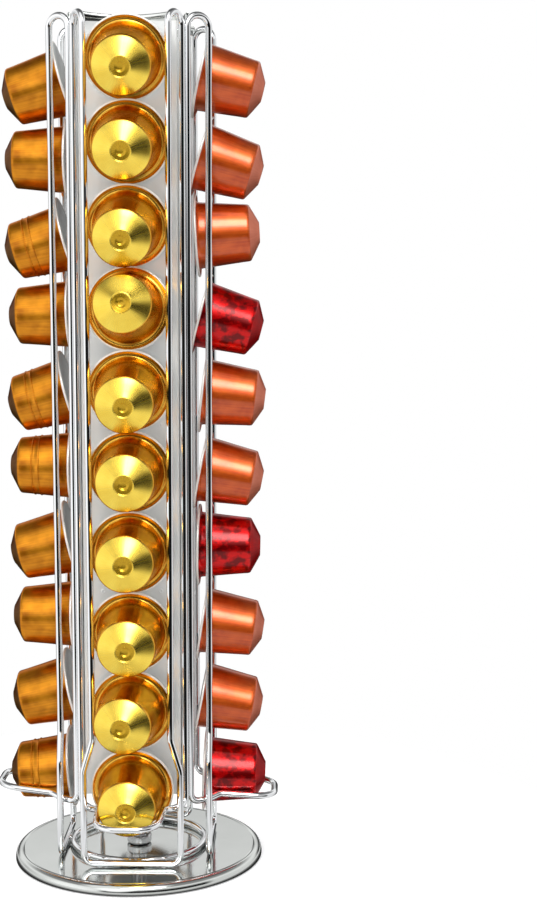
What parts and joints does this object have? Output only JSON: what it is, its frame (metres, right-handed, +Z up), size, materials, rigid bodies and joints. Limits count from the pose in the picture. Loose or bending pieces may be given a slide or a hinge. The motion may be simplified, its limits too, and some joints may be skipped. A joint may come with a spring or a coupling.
{
  "type": "coffee capsule dispenser",
  "caption": "Revolving wire carousel on a round plate that stores coffee capsules nose out in four columns and lets the lowest one of each be lifted out.",
  "frame": {"origin": "middle of the underside of the foot ring, on the axis of the spindle", "axes": "+Z up along the spindle, -Y out of the front column, +X out of the right column"},
  "size_m": [0.1288, 0.1288, 0.38],
  "materials": {
    "wire_chrome": "polished chrome plate",
    "plate_mirror": "bright mirror sheet",
    "base_chrome": "polished chrome plate",
    "zinc_steel": "zinc plated",
    "nylon": "natural white",
    "foot_rubber": "matt black",
    "capsule_gold": "gold anodised",
    "capsule_copper": "copper anodised",
    "capsule_red": "red anodised",
    "capsule_pale_gold": "pale gold anodised",
    "capsule_amber": "amber anodised"
  },
  "bodies": {
    "base": {"base_plate": "base_chrome", "foot_ring": "foot_rubber", "spindle": "zinc_steel", "lock_nut": "zinc_steel", "thrust_washer": "nylon", "upper_washer": "nylon", "cap_nut": "zinc_steel"},
    "carousel": {"wire_frame_front": "wire_chrome", "wire_frame_right": "wire_chrome", "wire_frame_back": "wire_chrome", "wire_frame_left": "wire_chrome", "back_plate_front": "plate_mirror", "back_plate_right": "plate_mirror", "back_plate_back": "plate_mirror", "back_plate_left": "plate_mirror", "carousel_ring": "wire_chrome", "hub_plate": "zinc_steel", "hub_sleeve": "zinc_steel", "capsule_front_01": "capsule_gold", "capsule_front_02": "capsule_gold", "capsule_front_03": "capsule_gold", "capsule_front_04": "capsule_gold", "capsule_front_05": "capsule_gold", "capsule_front_06": "capsule_gold", "capsule_front_07": "capsule_gold", "capsule_front_08": "capsule_gold", "capsule_front_09": "capsule_gold", "capsule_front_10": "capsule_gold", "capsule_right_01": "capsule_red", "capsule_right_02": "capsule_copper", "capsule_right_03": "capsule_copper", "capsule_right_04": "capsule_red", "capsule_right_05": "capsule_copper", "capsule_right_06": "capsule_copper", "capsule_right_07": "capsule_red", "capsule_right_08": "capsule_copper", "capsule_right_09": "capsule_copper", "capsule_right_10": "capsule_copper", "capsule_back_01": "capsule_pale_gold", "capsule_back_02": "capsule_pale_gold", "capsule_back_03": "capsule_pale_gold", "capsule_back_04": "capsule_pale_gold", "capsule_back_05": "capsule_pale_gold", "capsule_back_06": "capsule_pale_gold", "capsule_back_07": "capsule_pale_gold", "capsule_back_08": "capsule_pale_gold", "capsule_back_09": "capsule_pale_gold", "capsule_back_10": "capsule_pale_gold", "capsule_left_01": "capsule_amber", "capsule_left_02": "capsule_amber", "capsule_left_03": "capsule_amber", "capsule_left_04": "capsule_amber", "capsule_left_05": "capsule_amber", "capsule_left_06": "capsule_amber", "capsule_left_07": "capsule_amber", "capsule_left_08": "capsule_amber", "capsule_left_09": "capsule_amber", "capsule_left_10": "capsule_amber"}
  },
  "joints": [
    {"name": "carousel_spin", "type": "hinge", "parent": "base", "child": "carousel", "pos_m": [0, 0, 0], "axis": [0, 0, 1], "continuous": true}
  ]
}
